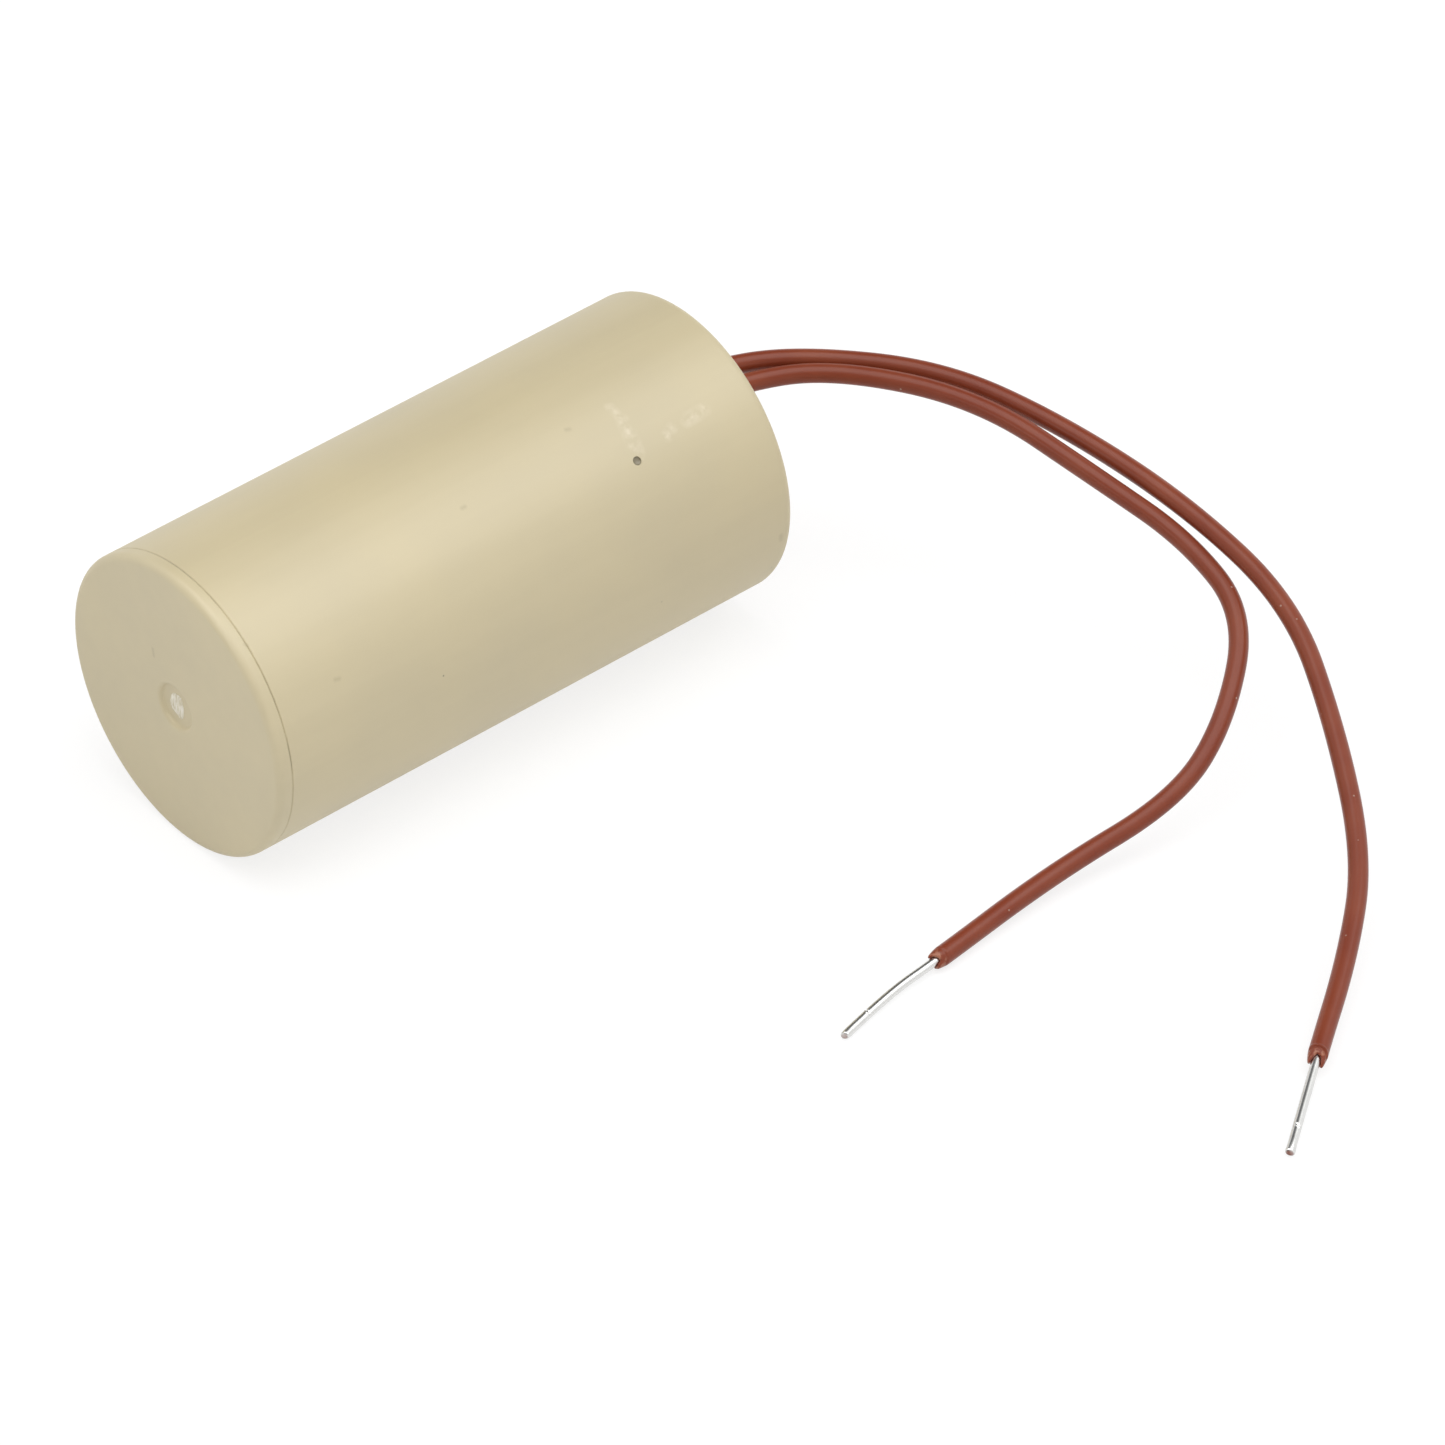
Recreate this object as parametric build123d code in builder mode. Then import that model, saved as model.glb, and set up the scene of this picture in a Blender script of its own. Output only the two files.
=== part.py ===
from build123d import *
from math import cos, pi, radians, sin, tan
import os

# A film capacitor for a motor: a round moulded can with two insulated wire leads.
# It lies on its side. X runs along the can from the lid to the lead end, and Z is up.
# The origin is under the middle of the can, on the surface that the can lies on.
# Every size is in millimetres and every angle in degrees.

# Case, a moulded cup whose closed end carries the leads
can_diameter = 28.0
can_length = 56.4
case_wall = 1.2
case_floor = 1.5
case_rear_radius = 0.8
case_inner_radius = 0.5
seam_chamfer = 0.12

# Pin-hole through the case wall; its angle is counted from +Y towards +Z
pin_hole_diameter = 0.8
pin_hole_to_rear = 13.8
pin_hole_angle = 133.3

# Lid, a moulded disc with a short ring that plugs into the case
lid_flange = 1.4
lid_face_radius = 0.6
lid_ring_depth = 2.5
lid_ring_wall = 1.2
lid_ring_clearance = 0.05
lid_ring_chamfer = 0.3

# Gate dimple in the middle of the lid, with the broken gate left on its floor
dimple_diameter = 4.5
dimple_floor_diameter = 3.1
dimple_depth = 0.45
gate_diameter = 1.9
gate_height = 0.25

# Roll of film on its core, with sprayed metal on both ends
front_head_room = 5.0
rear_head_room = 6.0
resin_wall = 0.9
wrap_thickness = 0.3
contact_thickness = 0.5
core_diameter = 5.0
core_wall = 1.0
core_stand_out = 0.5
lid_air_gap = 0.3

# Leads, solid wire in a plastic sleeve
wire_diameter = 0.8
sleeve_diameter = 1.75
sleeve_bore_clearance = 0.02
lead_hole_clearance = 0.1
lead_hole_chamfer = 0.25
sleeve_inside = 3.0
tight_bend_radius = 1.2

# Solder joints, one on each contact
solder_diameter = 5.0
solder_height = 1.9
wire_over_contact = 1.0
wire_in_solder = 4.4
solder_reach = 3.0
front_solder_offset = 6.0

# Each lead's hole, and its route outside the can, point by point after the straight run out of
# its hole. The last point is the end of the bare wire, and the one before it the sleeve's mouth.
lead_exit_run = 5.5
lead_a_hole_y = 2.8
lead_a_hole_above_axis = 3.4
lead_a_points = [
    (40.1, -1.6, 17.9),
    (47.6, -11.0, 18.1),
    (51.3, -22.3, 17.0),
    (53.6, -36.0, 15.0),
    (53.4, -49.4, 12.5),
    (48.0, -60.7, 8.9),
    (41.1, -71.6, 5.3),
    (33.4, -78.0, 2.9),
    (23.8, -84.4, 1.25),
    (15.2, -90.7, 0.42),
]
lead_b_hole_y = 0.2
lead_b_hole_above_axis = 2.8
lead_b_points = [
    (40.5, -4.6, 18.1),
    (47.2, -16.3, 18.3),
    (49.9, -29.0, 15.5),
    (51.9, -37.9, 13.3),
    (50.9, -46.5, 10.9),
    (43.2, -52.4, 7.0),
    (35.7, -54.6, 3.9),
    (23.0, -53.0, 1.6),
    (8.7, -54.4, 0.88),
    (-2.9, -56.3, 0.42),
]

# Radii and places worked out from the sizes above
can_radius = can_diameter / 2
bore_radius = can_radius - case_wall
lid_ring_radius = bore_radius - lid_ring_clearance
wrap_radius = bore_radius - resin_wall
roll_radius = wrap_radius - wrap_thickness
core_radius = core_diameter / 2
core_bore_radius = core_radius - core_wall
wire_radius = wire_diameter / 2
sleeve_radius = sleeve_diameter / 2
sleeve_bore_radius = wire_radius + sleeve_bore_clearance
lead_hole_radius = sleeve_radius + lead_hole_clearance
lead_a_hole = (lead_a_hole_y, can_radius + lead_a_hole_above_axis)
lead_b_hole = (lead_b_hole_y, can_radius + lead_b_hole_above_axis)

lid_face_x = -can_length / 2
rear_face_x = can_length / 2
seam_x = lid_face_x + lid_flange
lid_ring_end_x = seam_x + lid_ring_depth
cavity_end_x = rear_face_x - case_floor
resin_level_x = lid_ring_end_x + lid_air_gap
front_contact_x = seam_x + front_head_room
rear_contact_x = cavity_end_x - rear_head_room
roll_start_x = front_contact_x + contact_thickness
roll_end_x = rear_contact_x - contact_thickness
core_start_x = front_contact_x - core_stand_out
core_end_x = rear_contact_x + core_stand_out
sleeve_start_x = rear_face_x - sleeve_inside
first_bend_x = rear_face_x + lead_exit_run
pin_hole_x = rear_face_x - pin_hole_to_rear

can_axis = Axis((0, 0, can_radius), (1, 0, 0))
# Half sections are drawn on this plane: along the can, and outwards from its axis
half_section = Plane(origin=(0, 0, can_radius), x_dir=(1, 0, 0), z_dir=(0, -1, 0))


def across_can(x, y=0, z=can_radius):
    """A plane across the can at x, facing the lead end, with its origin at y and z."""
    return Plane(origin=(x, y, z), x_dir=(0, 1, 0), z_dir=(1, 0, 0))


def ring(start_x, end_x, inner_radius, outer_radius):
    """A plain ring turned about the can's axis, from start_x to end_x."""
    with BuildPart() as body:
        with BuildSketch(half_section):
            with Locations((start_x, inner_radius)):
                Rectangle(end_x - start_x, outer_radius - inner_radius, align=Align.MIN)
        revolve(axis=can_axis)
    return body


def corner_radii(points):
    """One radius for each corner of a route: 0.45 of its shorter run over the tangent of half the turn."""
    radii = []
    for before, corner, after in zip(points, points[1:], points[2:]):
        run_in = Vector(corner) - Vector(before)
        run_out = Vector(after) - Vector(corner)
        shorter_run = min(run_in.length, run_out.length)
        radii.append(0.45 * shorter_run / tan(radians(run_in.get_angle(run_out) / 2)))
    return radii


def swept(points, radii, outer_radius, inner_radius=0):
    """A round bar or tube along straight runs joined by arcs; the builder and the path's length."""
    with BuildPart() as body:
        with BuildLine():
            route = FilletPolyline(*points, radius=radii)
        start = Plane(origin=route @ 0, z_dir=route % 0)
        with BuildSketch(start):
            Circle(outer_radius)
            if inner_radius:
                Circle(inner_radius, mode=Mode.SUBTRACT)
        sweep(path=route)
    return body, route.length


# Case: a cup turned about the can's axis, open towards the lid
with BuildPart() as case:
    with BuildSketch(half_section) as section:
        with BuildLine():
            Polyline(
                (rear_face_x, 0),
                (rear_face_x, can_radius),
                (seam_x, can_radius),
                (seam_x, bore_radius),
                (cavity_end_x, bore_radius),
                (cavity_end_x, 0),
                close=True,
            )
        make_face()
        rear_edge = section.vertices().sort_by_distance((rear_face_x, can_radius))[0]
        fillet(rear_edge, radius=case_rear_radius)
        inner_corner = section.vertices().sort_by_distance((cavity_end_x, bore_radius))[0]
        fillet(inner_corner, radius=case_inner_radius)
        mouth_edge = section.vertices().sort_by_distance((seam_x, can_radius))[0]
        chamfer(mouth_edge, length=seam_chamfer)
    revolve(axis=can_axis)
    for hole in (lead_a_hole, lead_b_hole):
        with Locations(across_can(rear_face_x, *hole)):
            Hole(lead_hole_radius, depth=case_floor)
    hole_rims = case.faces().sort_by(Axis.X)[-1].inner_wires().edges()
    chamfer(hole_rims, length=lead_hole_chamfer)
    outwards = (0, cos(radians(pin_hole_angle)), sin(radians(pin_hole_angle)))
    with BuildSketch(Plane(origin=(pin_hole_x, 0, can_radius), x_dir=(1, 0, 0), z_dir=outwards)):
        Circle(pin_hole_diameter / 2)
    extrude(amount=can_radius, mode=Mode.SUBTRACT)

# Lid: flange and plug ring in one turned section, with the dimple and the broken gate
with BuildPart() as end_lid:
    with BuildSketch(half_section) as section:
        with BuildLine():
            Polyline(
                (lid_face_x + dimple_depth, 0),
                (lid_face_x + dimple_depth, dimple_floor_diameter / 2),
                (lid_face_x, dimple_diameter / 2),
                (lid_face_x, can_radius),
                (seam_x, can_radius),
                (seam_x, lid_ring_radius),
                (lid_ring_end_x, lid_ring_radius),
                (lid_ring_end_x, lid_ring_radius - lid_ring_wall),
                (seam_x, lid_ring_radius - lid_ring_wall),
                (seam_x, 0),
                close=True,
            )
        make_face()
        face_edge = section.vertices().sort_by_distance((lid_face_x, can_radius))[0]
        fillet(face_edge, radius=lid_face_radius)
        dimple_rim = section.vertices().sort_by_distance((lid_face_x, dimple_diameter / 2))[:1]
        dimple_foot_place = (lid_face_x + dimple_depth, dimple_floor_diameter / 2)
        dimple_foot = section.vertices().sort_by_distance(dimple_foot_place)[:1]
        fillet(dimple_rim + dimple_foot, radius=dimple_depth)
        seam_edge = section.vertices().sort_by_distance((seam_x, can_radius))[0]
        chamfer(seam_edge, length=seam_chamfer)
        ring_edge = section.vertices().sort_by_distance((lid_ring_end_x, lid_ring_radius))[0]
        chamfer(ring_edge, length=lid_ring_chamfer)
    revolve(axis=can_axis)
    with BuildSketch(across_can(lid_face_x + dimple_depth)):
        Circle(gate_diameter / 2)
    extrude(amount=-gate_height, taper=20)

# Core, roll, wrap and contacts: rings inside each other
winding_core = ring(core_start_x, core_end_x, core_bore_radius, core_radius)
film_winding = ring(roll_start_x, roll_end_x, core_radius, roll_radius)
outer_wrap = ring(front_contact_x, rear_contact_x, roll_radius, wrap_radius)
front_contact = ring(front_contact_x, roll_start_x, core_radius, roll_radius)
rear_contact = ring(roll_end_x, rear_contact_x, core_radius, roll_radius)


def stripped(sleeve, route):
    """A sleeve cut off square at its mouth, the last but one point of its route; also the bare length."""
    before, mouth, tip = (Vector(point) for point in route[-3:])
    along = (mouth - before).normalized() + (tip - mouth).normalized()
    with BuildPart() as cut:
        add(sleeve.part)
        split(bisect_by=Plane(origin=mouth, z_dir=along), keep=Keep.BOTTOM)
    return cut, (tip - mouth).length


# Lead A: its wire lies across the rear contact, and turns straight out of its hole
sleeve_a_route = [(sleeve_start_x, *lead_a_hole), (first_bend_x, *lead_a_hole), *lead_a_points]
sleeve_a_radii = corner_radii(sleeve_a_route)
rear_wire_x = rear_contact_x + wire_over_contact
wire_a_route = [
    (rear_wire_x, lead_a_hole[0], lead_a_hole[1] + wire_in_solder),
    (rear_wire_x, *lead_a_hole),
    *sleeve_a_route[1:],
]
wire_a_radii = [tight_bend_radius] + sleeve_a_radii

# Lead B: its wire crosses the front contact, turns into the core, and steps up to its hole
sleeve_b_route = [(sleeve_start_x, *lead_b_hole), (first_bend_x, *lead_b_hole), *lead_b_points]
sleeve_b_radii = corner_radii(sleeve_b_route)
front_wire_x = front_contact_x - wire_over_contact
wire_b_route = [
    (front_wire_x, 0, can_radius + front_solder_offset + wire_diameter),
    (front_wire_x, 0, can_radius),
    (core_end_x + wire_diameter, 0, can_radius),
    (sleeve_start_x - wire_diameter, *lead_b_hole),
    *sleeve_b_route[1:],
]
wire_b_radii = [tight_bend_radius] * 3 + sleeve_b_radii

# Each sleeve is swept along its lead to the end of the wire, and then stripped off the bare tip
lead_a_conductor, wire_a_length = swept(wire_a_route, wire_a_radii, wire_radius)
lead_b_conductor, wire_b_length = swept(wire_b_route, wire_b_radii, wire_radius)
sleeve_a, route_a_length = swept(sleeve_a_route, sleeve_a_radii, sleeve_radius, sleeve_bore_radius)
sleeve_b, route_b_length = swept(sleeve_b_route, sleeve_b_radii, sleeve_radius, sleeve_bore_radius)
lead_a_insulation, bare_a_length = stripped(sleeve_a, sleeve_a_route)
lead_b_insulation, bare_b_length = stripped(sleeve_b, sleeve_b_route)


def solder_bead(contact_x, y, z, towards):
    """A domed bead of solder on a contact, as a full half ellipsoid."""
    foot = Plane(origin=(contact_x, y, z), x_dir=(0, 0, 1), z_dir=(0, towards, 0))
    with BuildPart() as bead:
        with BuildSketch(foot):
            with BuildLine():
                Line((0, 0), (solder_diameter / 2, 0))
                dome = EllipticalCenterArc((0, 0), solder_diameter / 2, solder_height, arc_size=90)
                Line(dome @ 1, (0, 0))
            make_face()
        revolve(axis=Axis((contact_x, y, z), (towards, 0, 0)))
    return bead


# Solder joints: each bead with the tunnel that its wire lies in
front_bead = solder_bead(front_contact_x, 0, can_radius + front_solder_offset, -1)
with BuildPart() as front_solder_joint:
    add(front_bead.part)
    add(lead_b_conductor.part, mode=Mode.SUBTRACT)

rear_bead = solder_bead(rear_contact_x, lead_a_hole[0], lead_a_hole[1] + solder_reach, 1)
with BuildPart() as rear_solder_joint:
    add(rear_bead.part)
    add(lead_a_conductor.part, mode=Mode.SUBTRACT)

# Potting resin: whatever is left free in the case, from its floor to just short of the lid's ring
with BuildPart() as potting_resin:
    with BuildSketch(half_section) as section:
        with BuildLine():
            Polyline(
                (resin_level_x, 0),
                (resin_level_x, bore_radius),
                (cavity_end_x, bore_radius),
                (cavity_end_x, 0),
                close=True,
            )
        make_face()
        inner_corner = section.vertices().sort_by_distance((cavity_end_x, bore_radius))[0]
        fillet(inner_corner, radius=case_inner_radius)
        with BuildLine():
            Polyline(
                (core_start_x, core_bore_radius),
                (core_start_x, core_radius),
                (front_contact_x, core_radius),
                (front_contact_x, wrap_radius),
                (rear_contact_x, wrap_radius),
                (rear_contact_x, core_radius),
                (core_end_x, core_radius),
                (core_end_x, core_bore_radius),
                close=True,
            )
        make_face(mode=Mode.SUBTRACT)
    revolve(axis=can_axis)
    for held in (front_bead, rear_bead, lead_a_conductor, lead_b_conductor):
        add(held.part, mode=Mode.SUBTRACT)
    for hole in (lead_a_hole, lead_b_hole):
        with BuildSketch(across_can(sleeve_start_x, *hole)):
            Circle(sleeve_radius)
        extrude(amount=cavity_end_x - sleeve_start_x, mode=Mode.SUBTRACT)

pieces = {
    "case": case,
    "end_lid": end_lid,
    "potting_resin": potting_resin,
    "winding_core": winding_core,
    "film_winding": film_winding,
    "outer_wrap": outer_wrap,
    "front_contact": front_contact,
    "rear_contact": rear_contact,
    "front_solder_joint": front_solder_joint,
    "rear_solder_joint": rear_solder_joint,
    "lead_a_conductor": lead_a_conductor,
    "lead_b_conductor": lead_b_conductor,
    "lead_a_insulation": lead_a_insulation,
    "lead_b_insulation": lead_b_insulation,
}
os.makedirs("parts", exist_ok=True)
for name, piece in pieces.items():
    piece.part.label = name
    export_step(piece.part, f"parts/{name}.step")

# The leads' figures: bend radii, lengths, and each volume against its section times its length
wire_section = pi * wire_radius**2
sleeve_section = pi * (sleeve_radius**2 - sleeve_bore_radius**2)
for name, radii, length, section_area in (
    ("lead_a_conductor", wire_a_radii, wire_a_length, wire_section),
    ("lead_b_conductor", wire_b_radii, wire_b_length, wire_section),
    ("lead_a_insulation", sleeve_a_radii, route_a_length - bare_a_length, sleeve_section),
    ("lead_b_insulation", sleeve_b_radii, route_b_length - bare_b_length, sleeve_section),
):
    print(name, "bend radii", [round(radius, 1) for radius in radii])
    print(name, "length", round(length, 1), "volume", round(pieces[name].part.volume, 2))
    print(name, "section times length", round(section_area * length, 2))
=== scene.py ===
# %% [markdown]
# # A film capacitor for a motor
# The real object is a beige moulded can, closed by a lid at one end, with two brown wires that come
# out of the other end and lie on the table in wide curves. Their tips are stripped bare.
# The CAD model already gives every solid its place and size, so this script loads it first, as a
# fixed frame, and then only adds what CAD leaves out: finish, colour, wear, and the small forms that
# come from moulding and from stripping a wire.
# Everything is in metres. X runs along the can from its lid to its wires, and Z is up.

# %% Load the frame
import bpy
import numpy as np
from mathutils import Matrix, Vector


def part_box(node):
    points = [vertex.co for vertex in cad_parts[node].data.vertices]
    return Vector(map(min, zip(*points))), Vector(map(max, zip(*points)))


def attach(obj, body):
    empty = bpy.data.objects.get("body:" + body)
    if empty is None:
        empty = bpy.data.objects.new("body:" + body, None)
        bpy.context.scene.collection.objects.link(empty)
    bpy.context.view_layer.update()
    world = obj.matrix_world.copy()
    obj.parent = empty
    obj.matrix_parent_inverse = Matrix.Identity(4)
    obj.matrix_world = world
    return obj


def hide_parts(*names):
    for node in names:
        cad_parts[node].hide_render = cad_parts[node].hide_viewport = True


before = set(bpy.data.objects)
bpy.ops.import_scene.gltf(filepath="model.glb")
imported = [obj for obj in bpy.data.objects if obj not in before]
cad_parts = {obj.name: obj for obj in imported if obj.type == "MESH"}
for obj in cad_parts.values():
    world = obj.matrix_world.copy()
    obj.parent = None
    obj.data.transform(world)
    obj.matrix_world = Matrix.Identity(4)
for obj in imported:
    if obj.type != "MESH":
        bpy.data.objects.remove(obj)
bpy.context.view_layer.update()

MM = 0.001
case_low, case_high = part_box("case")
lid_low, lid_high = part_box("end_lid")
can_radius = (case_high.z - case_low.z) / 2
can_axis_z = can_radius
lid_face_x = lid_low.x
seam_x = case_low.x
rear_face_x = case_high.x
print("nodes:", len(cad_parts), "can radius in mm:", round(can_radius / MM, 2))

# %% [markdown]
# ## The camera
# The photograph was taken from in front of the lid and above it, with a long lens. Where it stood was
# worked out from the outline of the can, whose two ends show how fast it gets smaller with distance.
# A camera is placed by a point and a direction. Its upper edge stays level with Z.

# %% Camera
camera_place = Vector((-422.9, -529.6, 556.3)) * MM
camera_direction = Vector((0.50261, 0.58495, -0.63657))
camera_data = bpy.data.cameras.new("photo_camera")
camera_data.sensor_width = 36
camera_data.lens = 254.4
camera_data.clip_start = 0.01
camera = bpy.data.objects.new("photo_camera", camera_data)
camera.location = camera_place
camera.rotation_euler = camera_direction.to_track_quat("-Z", "Y").to_euler()
bpy.context.scene.collection.objects.link(camera)
bpy.context.scene.camera = camera
print("camera distance in mm:", round(camera_place.length / MM))

# %% [markdown]
# ## The routes of the two leads
# A wire that is bent by hand keeps smooth curves of different sizes. Each lead is one NURBS spline,
# whose control points are few, so its curvature changes evenly from end to end.
# The route starts in the solder joint inside the can, runs out of the lead's hole, and ends at the
# tip of the bare wire. Near the sharp bends inside the can, the points lie closer together.

# %% Control points, in millimetres
lead_a_route = [
    (21.7, 2.8, 21.8), (21.7, 2.8, 17.4), (26.1, 2.8, 17.4), (33.7, 2.8, 17.35), (40.1, -1.6, 17.9),
    (47.6, -11.0, 18.1), (51.3, -22.3, 17.0), (53.6, -36.0, 15.0), (53.4, -49.4, 12.5),
    (48.0, -60.7, 8.9), (41.1, -71.6, 5.3), (33.4, -78.0, 2.9), (23.8, -84.4, 1.25), (15.1, -90.65, 0.42),
]
lead_b_route = [
    (-22.8, 0.0, 20.8), (-22.8, 0.0, 14.0), (-16.0, 0.0, 14.0), (18.7, 0.0, 14.0), (22.0, 0.0, 14.0),
    (24.4, 0.2, 16.8), (28.2, 0.2, 16.8), (33.7, 0.2, 17.0), (40.5, -4.6, 18.1), (47.2, -16.3, 18.3),
    (49.9, -29.0, 15.5), (51.9, -37.9, 13.3), (50.9, -46.5, 10.9), (43.2, -52.4, 7.0), (35.7, -54.6, 3.9),
    (23.0, -53.0, 1.6), (8.7, -54.4, 0.88), (3.1, -54.8, 0.7), (-2.9, -56.15, 0.42),
]
sleeve_start_x = 25.2 * MM
# The sleeves end beside a control point near the end of each route
lead_a_mouth = np.array(lead_a_route[-2]) * MM
lead_b_mouth = np.array(lead_b_route[-3]) * MM
lead_a_hole = Vector((rear_face_x, 2.8 * MM, 17.4 * MM))
lead_b_hole = Vector((rear_face_x, 0.2 * MM, 16.8 * MM))


# %% Spline and even steps along it
def smooth_line(name, route):
    """The points of a NURBS spline of order 3 through its two ends, with the route as control points."""
    curve = bpy.data.curves.new(name, "CURVE")
    curve.dimensions = "3D"
    curve.resolution_u = 32
    spline = curve.splines.new("NURBS")
    spline.points.add(len(route) - 1)
    places = np.column_stack([np.array(route) * MM, np.ones(len(route))])
    spline.points.foreach_set("co", places.ravel())
    spline.order_u = 3
    spline.use_endpoint_u = True
    carrier = bpy.data.objects.new(name, curve)
    mesh = bpy.data.meshes.new_from_object(carrier)
    line = np.empty(len(mesh.vertices) * 3)
    mesh.vertices.foreach_get("co", line)
    bpy.data.meshes.remove(mesh)
    bpy.data.objects.remove(carrier)
    bpy.data.curves.remove(curve)
    return line.reshape(-1, 3)


def distances(line):
    """How far along the line each of its points lies: the running sum of the steps between them."""
    steps = np.linalg.norm(np.diff(line, axis=0), axis=1)
    return np.concatenate([[0], np.cumsum(steps)])


def at_distance(line, where):
    """The points at those distances along the line, between its own points in proportion."""
    along = distances(line)
    return np.stack([np.interp(where, along, line[:, k]) for k in range(3)], axis=-1)


line_a = smooth_line("lead_a_line", lead_a_route)
line_b = smooth_line("lead_b_line", lead_b_route)
print("whole wires in mm:", [round(distances(line)[-1] / MM, 1) for line in (line_a, line_b)])

# %% [markdown]
# ## Skins from arrays
# Every new piece here is a skin over rings of points. A ring is a row of an array, and the faces join
# each point to its neighbours in the same row and in the next. numpy works out the whole array in one
# step, which is fast, and keeps the formula of the shape in sight.


# %% A mesh from rings, and a skin along a line
def skin(name, rings, across, caps=(False, False)):
    """A closed-round mesh over rings[i, j]. Its UV map holds across[i] and j's share of a turn."""
    count, around = rings.shape[:2]
    i, j = np.meshgrid(np.arange(count - 1), np.arange(around), indexing="ij")
    following = (j + 1) % around
    corners = np.stack([i * around + j, i * around + following,
                        (i + 1) * around + following, (i + 1) * around + j], axis=-1)
    faces = corners.reshape(-1, 4).tolist()
    uv_u = across[np.stack([i, i, i + 1, i + 1], axis=-1)].reshape(-1)
    uv_v = (np.stack([j, j + 1, j + 1, j], axis=-1) / around).reshape(-1)
    uv = np.column_stack([uv_u, uv_v])
    if caps[0]:
        faces.append(list(range(around - 1, -1, -1)))
        uv = np.vstack([uv, np.column_stack([np.full(around, across[0]), np.linspace(0, 1, around)])])
    if caps[1]:
        faces.append(list(range((count - 1) * around, count * around)))
        uv = np.vstack([uv, np.column_stack([np.full(around, across[-1]), np.linspace(0, 1, around)])])
    mesh = bpy.data.meshes.new(name)
    mesh.from_pydata(rings.reshape(-1, 3), [], faces)
    mesh.uv_layers.new(name="along_round").data.foreach_set("uv", uv.ravel())
    mesh.shade_smooth()
    piece = bpy.data.objects.new(name, mesh)
    bpy.context.scene.collection.objects.link(piece)
    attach(piece, "root")
    print(name, "has", len(mesh.polygons), "faces")
    return piece


def full_turn(around):
    """That many even angles round a full turn, the first of them 0."""
    return np.arange(around) / around * 2 * np.pi


def skin_points(line, stations, radii, shifts, around):
    """Rings of points: line(station) + radius * (cos(turn) * side + sin(turn) * up) + shift * tangent."""
    half_step = 0.05 * MM
    centres = at_distance(line, stations)
    tangent = at_distance(line, stations + half_step) - at_distance(line, stations - half_step)
    tangent /= np.linalg.norm(tangent, axis=1)[:, None]
    # A direction that no lead runs along, so that the rings never flip over
    upwards = np.array((0.35, 0.35, 0.87))
    side = np.cross(tangent, upwards)
    side /= np.linalg.norm(side, axis=1)[:, None]
    up = np.cross(side, tangent)
    turn = full_turn(around)
    ring = np.cos(turn)[None, :, None] * side[:, None] + np.sin(turn)[None, :, None] * up[:, None]
    return centres[:, None] + radii[..., None] * ring + shifts[..., None] * tangent[:, None]


# %% [markdown]
# ## The sleeves of the leads
# The insulation is extruded over the wire, so it is round and even, with a faint swell here and there.
# Its mouth was pulled off by a stripping tool. Two blades bite from opposite sides, and the plastic
# between them stretches before it tears, so each mouth has two notches with two lobes between them.
# The outline of the mouth goes along the outside, over the lip and back into the bore, and the tear
# moves all of it along the wire by an amount that depends on the angle.

# %% Sleeve sizes
wire_radius = 0.4 * MM
sleeve_radius = 0.875 * MM
sleeve_around = 32
plain_step = 0.6 * MM
# The mouth: where its close rings begin, and how far back the tear and the taper reach
close_length, close_rings = 1.4 * MM, 17
tear_length = 1.3 * MM
taper_length, taper_depth = 1.0 * MM, 0.21 * MM
# The lip: its length along the wire, the radius of its middle, and half its width
lip_length, lip_middle, lip_half_width = 0.12 * MM, 0.55 * MM, 0.115 * MM
mouth_bore_radius = 0.42 * MM
mouth_bore_depths = np.array((0.2, 0.4, 0.7, 1.1, 1.6)) * MM
# A blade's bite and the burr behind it: how far back they are, how much they slant, and their width
bite_back, bite_slant, bite_width = 0.68 * MM, 0.12 * MM, 0.08 * MM
burr_back, burr_width = 0.2 * MM, 0.09 * MM


# %% Sleeve
def lead_distances(line, mouth):
    """Where a lead's sleeve starts in the can, and where its mouth is, as distances along the line."""
    along = distances(line)
    start = along[np.argmax(line[:, 0] > sleeve_start_x)]
    end = along[np.linalg.norm(line - mouth, axis=1).argmin()]
    return start, end


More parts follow.
